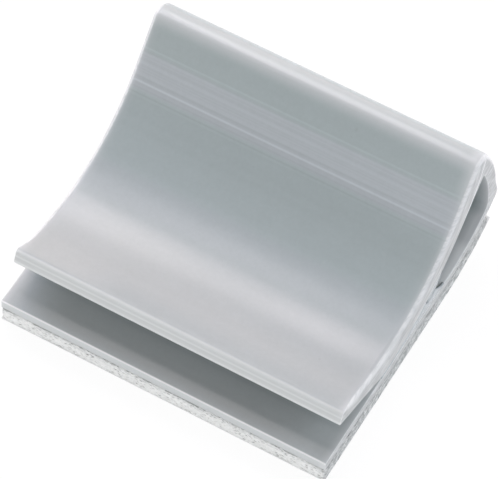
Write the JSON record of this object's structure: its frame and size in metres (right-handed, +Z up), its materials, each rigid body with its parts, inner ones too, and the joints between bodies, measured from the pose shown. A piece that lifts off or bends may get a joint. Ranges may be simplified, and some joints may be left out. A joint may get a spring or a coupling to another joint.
{
  "type": "self-adhesive flat cable clip",
  "caption": "Short cut of an extruded plastic profile with a springy curved arm that holds flat cable down on an adhesive-backed base.",
  "frame": {"origin": "centre of the footprint, on the underside of the release liner", "axes": "+X along the extrusion, +Y from the open mouth to the closed heel, +Z up from the surface the clip sticks to"},
  "size_m": [0.028, 0.0266, 0.013],
  "materials": {
    "clip_plastic": "satin, as extruded",
    "foam_tape": "matt open foam",
    "liner_film": "matt film"
  },
  "bodies": {
    "root": {"clip_body": "clip_plastic", "adhesive_tape": "foam_tape", "release_liner": "liner_film"}
  },
  "joints": []
}
